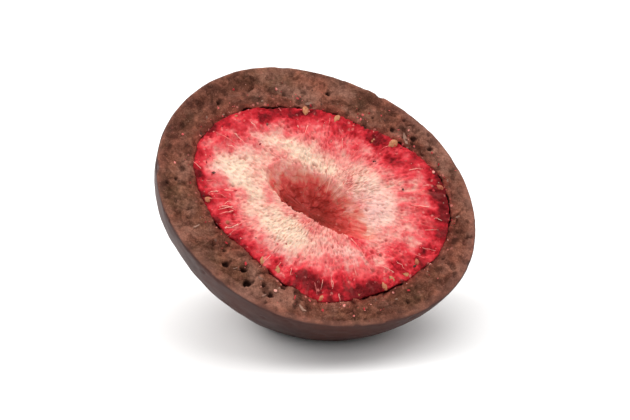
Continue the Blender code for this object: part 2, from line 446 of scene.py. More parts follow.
def ringRelief(points, angles, across):
    # height of the cut chocolate, in mm: knife strokes, brittle crumble, layers and holes
    turn = math.radians(shell["dragTurn"]) + 0.12 * roughness(points, 9.0, 50)
    alongCut = points[:, 0] * np.cos(turn) + points[:, 1] * np.sin(turn)
    acrossCut = points[:, 1] * np.cos(turn) - points[:, 0] * np.sin(turn)
    strokes = roughness(np.stack([acrossCut / 0.30, alongCut / 2.2, 0 * alongCut], 1), 1, 51, 2)
    smeared = smoothStep(roughness(points, 1.9, 52, 2), -0.05, 0.35)
    crumble = roughness(points, 0.95, 53, 4)
    broken = roughness(points, 0.30, 55, 2)
    height = shell["wave"] * roughness(points, 2.0, 54, 2)
    height = height + shell["drag"] * strokes * smeared
    rough = 1.1 - 0.8 * smeared
    height = height - shell["crumble"] * (np.abs(crumble) + 0.3 * np.abs(broken)) * rough
    height = height + shell["facet"] * facets(warped(points, 0.8, 0.15, 59), 0.85, 3.7) * rough
    layer = layerLine(angles, across)
    torn = points * (1, 1, 0) + 0.16 * np.stack([broken, crumble, 0 * broken], 1)
    cavity = pitField(torn, ringCavities())
    cavity = cavity * (1 + 0.3 * crumble)
    tone = patchField(warped(points, 1.4, 0.5, 56), shell["tones"]) + 0.55 * roughness(points, 2.2, 58, 3)
    height = height + 0.05 * layer - cavity - 0.10 * smoothStep(across, 0.86, 1.0)
    return height, layer, cavity, smeared * (0.5 + 0.5 * strokes), crumble, tone


def coatingRows():
    around = shell["around"]
    coarse = np.arange(around) * 2 * math.pi / around
    fine = np.arange(2 * around) * math.pi / around
    rows, kinds = [], []

    def rimAt(angles):
        return reachAt(domeReach, angles, np.ones_like(angles))

    rounding = rimRounding(fine)
    top = 1 - np.arcsin((rounding[::2] + 0.1) / rimAt(coarse)) * 2 / math.pi
    for step in range(1, shell["domeRows"] + 1):
        share = top * (step / shell["domeRows"]) ** 0.95
        ways = waysDown(coarse, share)
        rows.append(ways * reachAt(domeReach, coarse, share)[:, None])
        kinds.append("dome")
    outer = rimAt(fine)
    flat = np.stack([np.cos(fine), np.sin(fine)], -1)
    for lean in np.radians((0, 18, 36, 54, 72, 90)):
        radius = outer - rounding * (1 - math.cos(lean))
        rows.append(np.column_stack([flat * radius[:, None], -rounding * (1 - math.sin(lean))]))
        kinds.append("rim")
    inner = berryMiddle[:2] + flat * (seamReach(fine) + seamGap(fine) + 0.12)[:, None]
    start = rows[-1][:, :2]
    for step in range(1, shell["ringRows"] + 1):
        across = step / shell["ringRows"]
        rows.append(np.column_stack([start + (inner - start) * across, 0 * fine]))
        kinds.append("ring")
    for drop, back in ((0.05, 0.08), (0.15, 0.12), (0.35, 0.14)):
        pocket = berryMiddle[:2] + flat * (seamReach(fine) + seamGap(fine) + 0.12 - back)[:, None]
        rows.append(np.column_stack([pocket, 0 * fine - drop]))
        kinds.append("mouth")
    for step in range(1, shell["pocketRows"]):
        share = 0.94 * (1 - step / shell["pocketRows"]) * np.ones(around)
        reach = reachAt(pocketReach, coarse, share)
        rows.append(np.array(berryMiddle) + waysDown(coarse, share) * reach[:, None])
        kinds.append("pocket")
    return rows, kinds, coarse, fine


def buildCoating():
    rows, kinds, coarse, fine = coatingRows()
    sizes = [len(row) for row in rows]
    down = np.array((0.0, 0.0, -1.0))
    firstPole = down * reachAt(domeReach, np.zeros(1), np.zeros(1))
    lastPole = np.array(berryMiddle) + down * reachAt(pocketReach, np.zeros(1), np.zeros(1))
    points, faces = joinRows(rows, lastPole, firstPole)
    kind = np.array(["dome"] + sum(([k] * n for k, n in zip(kinds, sizes)), []) + ["pocket"])
    angles = np.arctan2(points[:, 1], points[:, 0])

    onDome = kind == "dome"
    detail, sunk, touched = domeDetail(points[onDome])
    outward = points[onDome] / np.linalg.norm(points[onDome], axis=1)[:, None]
    nearRim = np.exp(points[onDome][:, 2] / 0.5)
    burr = shell["burr"] * nearRim * (1 + roundNoise(angles[onDome], 7, 61, 2))
    points[onDome] += outward * (detail * (1 - nearRim) + burr * 0.6)[:, None]
    pit, rubbed = np.zeros(len(points)), np.zeros(len(points))
    pit[onDome] = sunk
    rubbed[onDome] = touched

    onCut = (kind == "rim") | (kind == "ring") | (kind == "mouth")
    face = points[onCut]
    turn = angles[onCut]
    rim = reachAt(domeReach, turn, np.ones_like(turn))
    out = np.hypot(face[:, 0], face[:, 1])
    ringWidth = rim - out
    inward = np.hypot(face[:, 0] - berryMiddle[0], face[:, 1] - berryMiddle[1])
    seamTurn = np.arctan2(face[:, 1] - berryMiddle[1], face[:, 0] - berryMiddle[0])
    toSeam = inward - seamReach(seamTurn)
    across = np.clip(ringWidth / np.maximum(ringWidth + toSeam, 0.1), 0, 1)
    height, layer, cavity, stroke, crumble, tone = ringRelief(face * (1, 1, 0), turn, across)
    weight = smoothStep(face[:, 2], -0.45, -0.02) * (0.35 + 0.65 * smoothStep(ringWidth, 0.1, 1.1))
    points[onCut] += np.column_stack([0 * height, 0 * height, height * weight])

    world = toWorld(points)
    world[:, 2] = np.maximum(world[:, 2], 0.0)

    def spread(held, empty=0.0):
        full = np.full(len(points), empty)
        full[onCut] = held
        return full

    # the pale band along the rim's outer edge is painted highlight of the rounded rim, and partly the rim's own paler
    # chocolate
    piece = meshPiece("coatingShell", world, faces, "chocolate",
                      rimNear=spread(np.exp(-ringWidth / 0.22)), seamNear=spread(np.exp(-toSeam / 0.6)),
                      layerLine=spread(layer), cavity=spread(cavity / 0.5) + pit, stroke=spread(stroke), crumble=spread(crumble), tone=spread(tone),
                      cutShare=spread(smoothStep(face[:, 2], -0.16, -0.02)), rubbed=rubbed)
    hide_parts("chocolate_coating")
    return piece


coatingShell = buildCoating()
print("coating built:", len(coatingShell.data.polygons), "faces")


# strawberry flesh: a cut face of fibres and pores round the hollow core

fruit = {
    "around": 700,
    "faceRows": 72,
    "hollowRows": 26,
    "underRows": 7,
    "fibreWaves": 12,
    "fibre": 0.17,        # mm
    "cell": 0.15,
    "wave": 0.22,
    "crumble": 0.16,
    "pores": 130,
    "poreDepth": 0.26,
    "hollowFibre": 0.30,
    "lipPushes": ((186, 16, 0.7), (206, 26, 0.75)),    # (degrees, half width in degrees, mm)
    # (x, y, length, width, turn, strength): darker and paler places of the hollow
    "hollowTones": ((1.2, 0.2, 1.2, 0.7, -20, 0.14), (3.6, -0.7, 1.4, 0.6, -35, 0.12), (-0.6, 0.9, 1.5, 0.7, -15, -0.18),
                    (-3.6, -0.6, 1.6, 0.9, -20, -0.20), (2.6, -2.0, 1.8, 0.9, -20, -0.45), (5.4, -1.6, 1.0, 0.6, -40, 0.25)),
}

core = {
    "longShare": 0.66,    # of the berry's own length and width
    "wideShare": 0.56,
    "shift": (-1.2, -0.4),
    "waves": ((2, -0.02, 0.013), (3, -0.03, 0.02), (4, 0.036, 0.027), (5, -0.023, -0.02)),
    # (x, y, length, width, turn in degrees, strength): cream where the strength is below nought
    # where the pale flesh is pinkish white rather than cream
    "blush": ((5.6, 1.6, 2.8, 2.4, 0, 1.0), (5.4, -4.4, 3.0, 1.6, 10, 0.9), (-9.0, 2.6, 1.8, 1.5, 0, 0.7), (0.6, 6.4, 3.5, 1.2, 0, 0.7),
              (-9.8, -2.2, 1.2, 1.0, 0, 0.6), (-1.0, -7.2, 3.0, 1.0, -10, 0.6)),
    "patches": (
        (-8.2, -0.8, 2.5, 1.3, 8, -0.46), (-4.6, 3.7, 3.2, 1.2, 0, -0.36), (-0.8, 3.5, 1.9, 1.1, -8, -0.26),
        (-5.8, -2.6, 2.2, 1.0, -38, -0.30), (-1.4, -4.8, 3.2, 1.2, -12, -0.46), (-2.0, -6.6, 2.6, 0.9, -20, -0.20),
        (5.0, 3.6, 2.6, 1.4, 12, -0.34), (6.2, 0.8, 1.4, 1.5, 0, -0.30), (5.7, -0.7, 0.9, 0.6, 0, -0.20),
        (5.2, -4.2, 2.4, 1.2, 10, -0.20), (-6.6, 1.3, 1.6, 0.9, 10, -0.16), (2.4, 5.4, 2.0, 1.0, -20, -0.10),
        (-7.7, 5.7, 1.4, 0.55, 30, 0.42), (-4.6, 7.4, 2.2, 0.6, 12, 0.24), (-11.4, 2.2, 0.6, 1.4, -12, 0.26),
        (-10.4, -3.6, 1.7, 0.55, -55, 0.28), (-7.0, -5.1, 1.9, 0.7, -38, 0.22), (-8.3, -3.2, 0.9, 0.7, -40, 0.10),
        (3.6, -8.4, 2.3, 1.1, -5, 0.34), (1.4, -8.0, 1.1, 0.9, 0, 0.32), (6.6, -7.4, 2.0, 0.8, 25, 0.26),
        (11.2, 4.8, 0.9, 1.9, 15, 0.40), (9.9, 6.8, 1.5, 0.8, -35, 0.40), (2.6, 8.2, 0.8, 0.5, 0, 0.40),
        (5.1, 7.5, 1.4, 0.8, -20, 0.12), (11.6, -0.6, 0.7, 1.7, 0, 0.36), (10.0, -3.2, 1.0, 0.9, 0, 0.28),
        (9.0, -5.8, 1.6, 0.7, 42, 0.26), (5.4, -2.3, 1.3, 0.6, -35, 0.30), (-4.6, 0.6, 1.6, 0.5, -12, 0.06),
    ),
}


def turnFrom(angles, degrees):
    return np.angle(np.exp(1j * (angles - math.radians(degrees))))


def coreReach(angles, length, width):
    across, along = width * np.cos(angles), length * np.sin(angles)
    push = sum(c * np.cos(n * angles) + s * np.sin(n * angles) for n, c, s in core["waves"])
    return length * width / np.hypot(across, along) * (1 + push)


def ripeness(points, skin, fibre):
    # 0 in the cream core, 0.3 where it turns pink, 0.7 at the red skin and 1 where it is crimson
    half = [reachAt(pocketReach, np.array(pair), np.ones(2)).mean() for pair in ((0, math.pi), (math.pi / 2, -math.pi / 2))]
    middle = np.array(berryMiddle[:2]) + core["shift"]

    def level(spots):
        off = spots[:, :2] - middle
        edge = coreReach(np.arctan2(off[:, 1], off[:, 0]), half[0] * core["longShare"], half[1] * core["wideShare"])
        return np.hypot(off[:, 0], off[:, 1]) / edge

    here, atSkin = level(points), level(skin)
    out = np.where(here > 1, (here - 1) / np.maximum(atSkin - 1, 0.12), here - 1)
    ripe = 0.40 + np.where(out > 0, 0.32, 0.22) * out
    ripe += patchField(warped(points, 1.5, 0.75, 74), core["patches"])
    ripe += (0.15 + 0.12 * smoothStep(out, 0.2, 0.8)) * roughness(points, 1.6, 71, 3)
    ripe += fibre * (0.07 + 0.14 * smoothStep(out, -0.2, 0.5))
    return np.clip(ripe + 0.10 * smoothStep(out, 0.85, 1.0), 0, 1)


def cellWalls(turn, inward):
    # 0 in the middle of a stretched cell and 1 on its wall
    spots = np.stack([np.cos(turn) * 26, np.sin(turn) * 26, inward / 0.55], 1).tolist()
    near = np.array([noise.voronoi(spot)[0][:2] for spot in spots])
    return smoothStep(near[:, 0] / np.maximum(near[:, 1], 1e-6), 0.25, 0.95)


def fleshRelief(points, turn, inward, toLip):
    ring = np.stack([np.cos(turn) * fruit["fibreWaves"], np.sin(turn) * fruit["fibreWaves"], inward * 0.35], 1)
    fibre = roughness(ring, 1, 81, 3)
    streaky = 0.35 + 0.65 * smoothStep(np.cos(turnFrom(turn, -15)), -0.4, 0.6)
    streaky = streaky * (1 - 0.75 * smoothStep(toLip, 0.45, 0.85))
    sponge = roughness(points, 0.55, 85, 3)
    walls = cellWalls(turn, inward)
    crumble = roughness(points, 0.30, 82, 2)
    height = fruit["wave"] * roughness(points, 2.0, 83, 2)
    height = height + fruit["fibre"] * (fibre * streaky + sponge * (1.1 - streaky))
    height = height - fruit["cell"] * (1 - walls) * (0.5 + 0.8 * smoothStep(roughness(points, 1.6, 84), -0.2, 0.4))
    height = height + fruit["crumble"] * smoothStep(crumble, 0.12, 0.6)
    draw = np.random.default_rng(17)
    chosen = points[draw.integers(0, len(points), fruit["pores"])] * (1, 1, 0)
    radius = 0.09 + 0.16 * draw.uniform(0, 1, fruit["pores"]) ** 2.5
    pores = np.column_stack([chosen, radius, fruit["poreDepth"] * radius / 0.25])
    bent = points * (1, 1, 0) + 0.09 * np.stack([crumble, sponge, 0 * sponge], 1)
    pore = pitField(bent, pores)
    return height - pore, fibre * streaky, sponge, walls, pore


def fleshRows():
    fine = np.arange(fruit["around"]) * 2 * math.pi / fruit["around"]
    coarse = fine[::2]
    flat = np.stack([np.cos(fine), np.sin(fine)], -1)
    rows, inward, kinds = [], [], []
    skinReach = seamReach(fine) + seam["overlap"] - 0.5 * seamGap(fine)
    skin = berryMiddle[:2] + flat * skinReach[:, None]
    lipShape = np.interp(fine, np.append(roundAngles, 2 * math.pi), np.append(lipReach, lipReach[0]))
    for degrees, spread, push in fruit["lipPushes"]:
        lipShape = lipShape + push * np.exp(-(np.degrees(turnFrom(fine, degrees)) / spread) ** 2)
    lipShape = lipShape * (1 + 0.06 * roundNoise(fine, 6, 91, 3))
    lip = hollowMiddle + flat * lipShape[:, None]
    for step in range(1, fruit["underRows"] + 1):
        share = 0.95 * step / fruit["underRows"] * np.ones(len(coarse))
        reach = reachAt(pocketReach, coarse, share) - 0.25
        rows.append(np.array(berryMiddle) + waysDown(coarse, share) * reach[:, None])
        kinds.append("under")
    for drop, back in ((0.5, 0.06), (0.25, 0.0), (0.10, 0.02), (0.03, 0.06)):
        rows.append(np.column_stack([skin - flat * back, 0 * fine - drop]))
        kinds.append("edge")
    for step in range(fruit["faceRows"] + 1):
        share = step / fruit["faceRows"]
        start = skin - flat * 0.10
        dip = 0.3 * share ** 3
        rows.append(np.column_stack([start + (lip - start) * share, 0 * fine - dip]))
        kinds.append("face")
    longWay = np.angle((lipShape ** 2 * np.exp(2j * fine)).sum()) / 2
    axis = np.array((math.cos(longWay), math.sin(longWay)))
    side = np.array((-axis[1], axis[0]))
    along, across = (lip - hollowMiddle) @ axis, (lip - hollowMiddle) @ side
    for step in range(1, fruit["hollowRows"]):
        share = step / fruit["hollowRows"]
        narrow = 1 - share
        place = along * (0.30 + 0.70 * narrow) - 1.1 * share
        sway = across * (0.10 + 0.90 * narrow ** 0.7) - 0.35 * math.sin(share * math.pi) ** 0.7
        wall = hollowMiddle + place[:, None] * axis + sway[:, None] * side
        shallow = 1 - 0.40 * smoothStep(place, 0.2, 4.4) - 0.55 * smoothStep(-place, 1.6, 5.2)
        depth = 0.3 + (hollowDepth - 0.3) * math.sin(share * math.pi / 2) ** 0.8 * shallow
        rows.append(np.column_stack([wall, -depth]))
        kinds.append("hollow")
    return rows, kinds, fine, skin


def buildFlesh():
    rows, kinds, fine, skin = fleshRows()
    faceStart = kinds.index("face")
    progress = np.clip((np.arange(len(rows)) - faceStart) / fruit["faceRows"], 0, 1)
    sizes = [len(row) for row in rows]
    down = np.array((0.0, 0.0, -1.0))
    firstPole = np.array(berryMiddle) + down * (reachAt(pocketReach, np.zeros(1), np.zeros(1)) - 0.25)
    lastPole = rows[-1].mean(axis=0)
    points, faces = joinRows(rows, lastPole, firstPole)
    kind = np.array(["under"] + sum(([k] * n for k, n in zip(kinds, sizes)), []) + ["hollow"])
    order = np.concatenate([[0], *[np.arange(n) * (fruit["around"] // n) for n in sizes], [0]]).astype(int)
    turn, skinPoint = fine[order], skin[order]
    toLip = np.concatenate([[0], *[np.full(n, place) for n, place in zip(sizes, progress)], [1]])
    inward = np.linalg.norm(points[:, :2] - skinPoint, axis=1)
    inward[kind == "hollow"] += -points[kind == "hollow"][:, 2]

    shown = (kind != "under")
    height, fibre, sponge, walls, pore = fleshRelief(points[shown], turn[shown], inward[shown], toLip[shown])
    inHollow = smoothStep(-points[shown][:, 2], 0.35, 1.2) * (kind[shown] == "hollow")
    deep = smoothStep(-points[shown][:, 2], 0.2, hollowDepth * 0.9)
    side = points[shown][:, :2] - hollowMiddle
    sideways = side / np.maximum(np.linalg.norm(side, axis=1), 0.3)[:, None]
    wallFibre = roughness(points[shown] / (1.6, 0.5, 1.6), 1, 86, 3)
    wallMove = inHollow * fruit["hollowFibre"] * (wallFibre + 0.8 * sponge)
    moved = points[shown].copy()
    weight = np.where(kind[shown] == "edge", smoothStep(moved[:, 2], -0.5, -0.02), 1.0)
    moved[:, 2] += height * weight * (1 - 0.5 * inHollow)
    moved[:, :2] -= sideways * wallMove[:, None]
    # painted shade: the hollow's colour darkens with depth, and more on the side under the near lip where its shadow
    # falls; the streaks, lumps and patches added over it are the fruit's own tones
    shadowedSide = smoothStep(-side @ np.array((math.sin(math.radians(12)), math.cos(math.radians(12)))), 0.1, 1.4)
    hollowShadeAndTone = np.where(kind[shown] == "hollow", 0.12 + 0.5 * deep + 0.35 * deep * shadowedSide, 0.0)
    streaks = roughness(np.stack([np.cos(turn[shown]) * 7, np.sin(turn[shown]) * 7, inward[shown] * 0.5], 1), 1, 87, 3)
    lumps = roughness(points[shown], 0.75, 88, 3)
    hollowShadeAndTone += inHollow * (0.12 * wallFibre + 0.22 * streaks + 0.20 * lumps + patchField(points[shown], fruit["hollowTones"]))
    ripe = ripeness(points[shown] * (1, 1, 0), skinPoint[shown], fibre + 0.6 * sponge)
    points[shown] = moved

    def spread(held, empty=0.0):
        full = np.full(len(points), empty)
        full[shown] = held
        return full

    # the hollow attribute carries the hollow's painted shade together with its own tones
    piece = meshPiece("berryFlesh", toWorld(points), faces, "dried_strawberry",
                      ripe=spread(ripe, 0.8), fibre=spread(fibre), sponge=spread(sponge), walls=spread(walls), pore=spread(pore / 0.3),
                      blush=spread(np.clip(patchField(warped(points[shown], 1.5, 0.75, 76), core["blush"]), 0, 1)),
                      hollow=spread(hollowShadeAndTone))
    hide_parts("strawberry")
    return piece


berryFlesh = buildFlesh()
print("flesh built:", len(berryFlesh.data.polygons), "faces")


# seeds, fibres and crumbs that lie on the cut

cutTrees = [treeOf(berryFlesh), treeOf(coatingShell)]


def heightAt(x, y):
    # height of whichever surface is uppermost at a point of the cut, in mm
    start = Vector(toWorld(np.array((x, y, 4.0))))
    hits = [tree.ray_cast(start, Vector(-cutAxes[:, 2]))[0] for tree in cutTrees]
    return max((4.0 - (hit - start).length / mm for hit in hits if hit), default=0.0)


def seamSpot(degrees, inset):
    # a point of the cut that lies that far inside the seam, in mm, or outside if below nought
    turn = math.radians(degrees)
    reach = seamReach(np.array([turn]))[0] - inset
    return berryMiddle[0] + reach * math.cos(turn), berryMiddle[1] + reach * math.sin(turn)


def ringSpot(degrees, across):
    # a point of the cut ring, from share 0 at the rim to 1 at the seam
    turn = np.array([math.radians(degrees)])
    rim = reachAt(domeReach, turn, np.ones(1))[0]
    x, y = seamSpot(degrees, 0)
    return (1 - across) * rim * math.cos(turn[0]) + across * x, (1 - across) * rim * math.sin(turn[0]) + across * y


def turned(points, heading, pitch, roll):
    # spins points about their own length, tips them and points them along the heading
    spin = Matrix.Rotation(heading, 3, "Z") @ Matrix.Rotation(-pitch, 3, "Y") @ Matrix.Rotation(roll, 3, "X")
    return points @ np.array(spin).T


def joinLumps(lumps):
    # one mesh of many closed lumps, each (points, faces, tint)
    points, faces, tints, first = [], [], [], 0
    for spots, sides, tint in lumps:
        points.append(spots)
        faces += [[corner + first for corner in side] for side in sides]
        tints.append(np.full(len(spots), tint))
        first += len(spots)
    return np.vstack(points), faces, np.concatenate(tints)


seed = {
    "length": 1.15,       # mm
    "width": 0.72,
    "thick": 0.46,
    # (degrees round the seam, mm inside it, size): the pointed end looks to the core
    "places": ((327, 0.10, 0.80), (333, 0.42, 0.66), (341, 0.15, 0.78), (350, 0.55, 0.60), (312, 0.12, 0.72),
               (291, 0.05, 0.80), (66, 0.00, 1.05), (76, 0.60, 0.70), (34, 0.10, 0.72), (103, 0.12, 0.78),
               (122, -0.10, 0.92), (158, 0.08, 0.66), (207, 0.15, 0.80), (221, 0.70, 0.62), (252, 0.00, 0.75),
               (263, 0.35, 0.85)),
}


def buildAchenes():
    draw = np.random.default_rng(31)
    around = np.arange(12) * 2 * math.pi / 12
    lumps = []
    for degrees, inset, size in seed["places"]:
        rows = []
        for share in np.linspace(0.06, 0.95, 9):
            wide = math.sin(math.pi * share ** 0.8) ** 0.75
            ridge = 1 + 0.06 * np.cos(3 * around)
            rows.append(np.stack([0 * around + (share - 0.5) * seed["length"],
                                  0.5 * seed["width"] * wide * ridge * np.cos(around),
                                  0.5 * seed["thick"] * wide * ridge * np.sin(around)], 1) * size)
        points, faces = joinRows(rows, np.array((0.52 * seed["length"] * size, 0, 0)),
                                 np.array((-0.5 * seed["length"] * size, 0, 0)))
        x, y = seamSpot(degrees, inset + 0.35 * seed["length"] * size)
        heading = math.atan2(hollowMiddle[1] - y, hollowMiddle[0] - x) + draw.normal(0, 0.35)
        points = turned(points, heading, draw.normal(0.15, 0.2), draw.uniform(-0.8, 0.8))
        lumps.append((points + (x, y, heightAt(x, y) - draw.uniform(0.05, 0.15)), faces, draw.uniform(0, 1)))
    points, faces, tints = joinLumps(lumps)
    return meshPiece("achenes", toWorld(points), faces, "dried_strawberry", tint=tints)


fibres = {
    "atLip": 34,
    "atSeam": 46,
    "thick": (0.022, 0.05),   # mm
    "length": (0.7, 2.0),
}


def buildFibres():
    # thin torn strands that point from the core to the skin
    draw = np.random.default_rng(37)
    around = np.arange(5) * 2 * math.pi / 5
    lumps = []
    for number in range(fibres["atLip"] + fibres["atSeam"]):
        turn = draw.uniform(0, 2 * math.pi)
        length, thick = draw.uniform(*fibres["length"]), draw.uniform(*fibres["thick"])
        outward = np.array((math.cos(turn), math.sin(turn)))
        if number < fibres["atLip"]:
            lip = np.interp(turn, roundAngles, lipReach)
            root = hollowMiddle + outward * (lip + draw.uniform(0.0, 0.9))
            length *= 0.7
        else:
            x, y = seamSpot(math.degrees(turn), draw.uniform(0.4, 2.6))
            root = np.array((x, y))
        heading = turn + draw.normal(0, 0.22)
        bend = draw.normal(0, 0.35)
        lift = draw.uniform(0.02, 0.22)
        rows = []
        spot = root.copy()
        for share in np.linspace(0, 1, 7):
            way = heading + bend * share
            side = np.array((-math.sin(way), math.cos(way), 0))
            radius = thick * (1 - 0.7 * share) * (0.7 + 0.6 * draw.uniform())
            middle = np.array((*spot, heightAt(*spot) + 0.01 + lift * math.sin(math.pi * share) ** 1.5))
            rows.append(middle + radius * (np.cos(around)[:, None] * side + np.sin(around)[:, None] * (0, 0, 1)))
            spot = spot - np.array((math.cos(way), math.sin(way))) * length / 6 * (1 if number % 2 else -1)
        points, faces = joinRows(rows, rows[-1].mean(axis=0), rows[0].mean(axis=0))
        lumps.append((points, faces, draw.uniform(0, 1)))
    points, faces, tints = joinLumps(lumps)
    return meshPiece("fruitFibres", toWorld(points), faces, "dried_strawberry", tint=tints)


crumbs = {
    "chocolateOnRing": 70,
    "chocolateOnFruit": 34,
    "berryOnRing": 150,
    "berryOnFruit": 130,
    "size": (0.045, 0.18),    # mm, half across
    # flakes shaved off by the knife: (degrees, share from rim to seam, heading in degrees, half length in mm)
    "flakes": ((63, 0.80, -60, 0.62), (119, 0.86, 10, 0.45), (247, 0.46, 40, 0.40), (259, 0.66, -20, 0.36),
               (266, 0.34, 75, 0.34), (284, 0.46, -12, 0.50), (221, 0.50, 60, 0.42), (19, 0.70, 50, 0.30)),
}


def crumbLump(draw, size):
    # an angular bit with uneven corners
    around = np.arange(7) * 2 * math.pi / 7
    rows = []
    for share in (0.2, 0.42, 0.62, 0.82):
        wide = math.sin(math.pi * share) * draw.uniform(0.65, 1.2, 7)
        rows.append(np.stack([wide * np.cos(around), wide * np.sin(around), -np.cos(math.pi * share) + draw.normal(0, 0.1, 7)], 1))
    points, faces = joinRows(rows, np.array((0, 0, 0.9)), np.array((0, 0, -0.9)))
    points = points * size * (draw.uniform(0.8, 1.5), draw.uniform(0.6, 1.0), draw.uniform(0.45, 0.8))
    return turned(points, draw.uniform(0, 6.3), draw.normal(0, 0.3), draw.uniform(0, 6.3)), faces


def shavedFlakes(draw):
    lumps = []
    for degrees, across, heading, size in crumbs["flakes"]:
        points, faces = crumbLump(draw, 1.0)
        points = points * (size, 0.34 * size, 0.16 * size)
        points[:, 2] += 0.35 * points[:, 0] ** 2 / size    # curls up at its ends
        points = turned(points, math.radians(heading), draw.normal(0, 0.15), draw.normal(0, 0.3))
        x, y = ringSpot(degrees, across)
        lumps.append((points + (x, y, heightAt(x, y) + 0.10 * size), faces, draw.uniform(0.75, 1)))
    return lumps


def scatterCrumbs(draw, count, onRing):
    # most lie near the seam, where the knife broke the chocolate from the fruit
    lumps = []
    for number in range(count):
        low, high = crumbs["size"]
        size = low + (high - low) * draw.uniform() ** 4
        turn = draw.uniform(0, 360)
        away = abs(draw.normal(0, 1.0)) + 0.05
        if onRing:
            x, y = ringSpot(turn, 1 - min(0.30 * away, 0.85))
        else:
            x, y = seamSpot(turn, min(away * 1.8, 5.5))
        points, faces = crumbLump(draw, size)
        lumps.append((points + (x, y, heightAt(x, y) + 0.25 * size), faces, draw.uniform(0, 1)))
    return lumps


def buildCrumbs(name, slot, offset, onRing, onFruit):
    draw = np.random.default_rng(offset)
    lumps = scatterCrumbs(draw, onRing, True) + scatterCrumbs(draw, onFruit, False)
    if slot == "chocolate":
        lumps += shavedFlakes(draw)
    points, faces, tints = joinLumps(lumps)
    piece = meshPiece(name, toWorld(points), faces, slot, tint=tints)
    for face in piece.data.polygons:
        face.use_smooth = False
    return piece


achenes = buildAchenes()
fruitFibres = buildFibres()
chocolateCrumbs = buildCrumbs("chocolateCrumbs", "chocolate", 41, crumbs["chocolateOnRing"], crumbs["chocolateOnFruit"])
berryCrumbs = buildCrumbs("berryCrumbs", "dried_strawberry", 43, crumbs["berryOnRing"], crumbs["berryOnFruit"])
print("seeds, fibres and crumbs built")


# materials

def put(tree, kind, inputs=None, **settings):
    node = tree.nodes.new(kind)
    for name, value in settings.items():
        setattr(node, name, value)
    for name, value in (inputs or {}).items():
        if isinstance(value, bpy.types.NodeSocket):
            tree.links.new(value, node.inputs[name])
        else:
            node.inputs[name].default_value = value
    return node


def maths(tree, operation, first, second=0.5, third=0.0, clamp=False):
    node = put(tree, "ShaderNodeMath", {0: first, 1: second, 2: third}, operation=operation, use_clamp=clamp)
    return node.outputs[0]


def mixed(tree, share, first, second, blend="MIX"):
    node = tree.nodes.new("ShaderNodeMix")
    node.data_type = "RGBA"
    node.blend_type = blend
    for index, value in ((0, share), (6, first), (7, second)):
        if isinstance(value, bpy.types.NodeSocket):
            tree.links.new(value, node.inputs[index])
        elif index == 0:
            node.inputs[index].default_value = value
        else:
            node.inputs[index].default_value = (*value, 1)
    return node.outputs[2]


def ramp(tree, factor, stops, smooth=False):
    node = put(tree, "ShaderNodeValToRGB", {"Fac": factor})
    node.color_ramp.interpolation = "EASE" if smooth else "LINEAR"
    for extra in range(len(stops) - 2):
        node.color_ramp.elements.new(0.5)
    for element, (place, colour) in zip(node.color_ramp.elements, stops):
        element.position = place
        element.color = (*colour, 1) if len(colour) == 3 else (colour[0],) * 3 + (1,)
    return node.outputs["Color"]


def ranged(tree, value, low, high, toLow, toHigh):
    return put(tree, "ShaderNodeMapRange", {"Value": value, "From Min": low, "From Max": high,
                                            "To Min": toLow, "To Max": toHigh}).outputs["Result"]


def held(tree, name):
    return put(tree, "ShaderNodeAttribute", attribute_name=name).outputs["Fac"]


def newGroup(name, inputs, outputs):
    tree = bpy.data.node_groups.new(name, "ShaderNodeTree")
    for label, kind, value in inputs:
        socket = tree.interface.new_socket(label, in_out="INPUT", socket_type=kind)
        socket.default_value = value
    for label, kind in outputs:
        tree.interface.new_socket(label, in_out="OUTPUT", socket_type=kind)
    return tree, tree.nodes.new("NodeGroupInput").outputs, tree.nodes.new("NodeGroupOutput").inputs


def useGroup(tree, group, **values):
    node = put(tree, "ShaderNodeGroup", node_tree=group)
    for name, value in values.items():
        if isinstance(value, bpy.types.NodeSocket):
            tree.links.new(value, node.inputs[name])
        else:
            node.inputs[name].default_value = value
    return node.outputs


def makeGrainGroup():
    # crumbly grain: a height for bump and a mask of its hollows
    tree, given, shown = newGroup("crumblyGrain", (("Scale", "NodeSocketFloat", 2500), ("Coarse", "NodeSocketFloat", 0.5)),
                                  (("Height", "NodeSocketFloat"), ("Mask", "NodeSocketFloat")))
    spot = put(tree, "ShaderNodeTexCoord").outputs["Object"]
    fine = put(tree, "ShaderNodeTexNoise", {"Vector": spot, "Scale": given["Scale"], "Detail": 5, "Roughness": 0.65})
    slow = maths(tree, "MULTIPLY", given["Scale"], 0.28)
    broad = put(tree, "ShaderNodeTexNoise", {"Vector": spot, "Scale": slow, "Detail": 3, "Roughness": 0.5})
    both = put(tree, "ShaderNodeMix", {0: given["Coarse"], 2: fine.outputs["Fac"], 3: broad.outputs["Fac"]})
    tree.links.new(both.outputs[0], shown["Height"])
    tree.links.new(ranged(tree, both.outputs[0], 0.56, 0.40, 0, 1), shown["Mask"])
    return tree


def makeMottleGroup():
    # slow drift between two colours, with a finer one over it
    tree, given, shown = newGroup("softMottle", (
        ("Scale", "NodeSocketFloat", 260), ("Light", "NodeSocketColor", (1, 1, 1, 1)),
        ("Dark", "NodeSocketColor", (0, 0, 0, 1)), ("Contrast", "NodeSocketFloat", 0.18)),
        (("Color", "NodeSocketColor"), ("Mask", "NodeSocketFloat")))
    spot = put(tree, "ShaderNodeTexCoord").outputs["Object"]
    cloud = put(tree, "ShaderNodeTexNoise", {"Vector": spot, "Scale": given["Scale"], "Detail": 6,
                                             "Roughness": 0.62, "Distortion": 0.4}).outputs["Fac"]
    low = maths(tree, "SUBTRACT", 0.5, given["Contrast"])
    high = maths(tree, "ADD", 0.5, given["Contrast"])
    mask = ranged(tree, cloud, low, high, 0, 1)
    tree.links.new(mask, shown["Mask"])
    tree.links.new(mixed(tree, mask, given["Dark"], given["Light"]), shown["Color"])
    return tree


